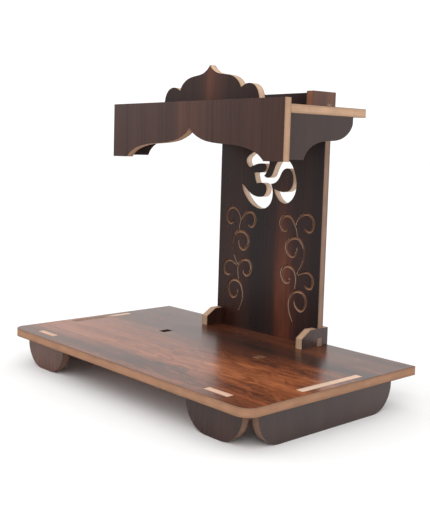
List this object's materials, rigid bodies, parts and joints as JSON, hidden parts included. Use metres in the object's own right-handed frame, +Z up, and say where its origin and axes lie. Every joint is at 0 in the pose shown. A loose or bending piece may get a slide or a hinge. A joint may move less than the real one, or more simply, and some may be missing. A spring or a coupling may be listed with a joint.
{
  "type": "tabletop shrine stand",
  "caption": "Slot-together wooden tabletop shrine: low footed platform, pierced and engraved back panel, bracketed canopy with arched valance and lobed crest.",
  "frame": {"origin": "centre of the footprint's bounding box, on the surface the feet rest on", "axes": "+Z up, +X to the right seen from the front, -Y towards the front, so the back panel stands on the +Y side"},
  "size_m": [0.39, 0.245, 0.349],
  "materials": {
    "laminated_board": "glossy dark walnut laminate with bare tan cut edges"
  },
  "bodies": {
    "root": {"base_board": "laminated_board", "back_panel": "laminated_board", "roof_board": "laminated_board", "fascia": "laminated_board", "crest": "laminated_board", "front_foot_left": "laminated_board", "front_foot_right": "laminated_board", "side_rail_left": "laminated_board", "side_rail_right": "laminated_board", "base_bracket_left": "laminated_board", "base_bracket_right": "laminated_board", "canopy_bracket_left": "laminated_board", "canopy_bracket_right": "laminated_board", "top_bracket_left": "laminated_board", "top_bracket_right": "laminated_board"}
  },
  "joints": []
}
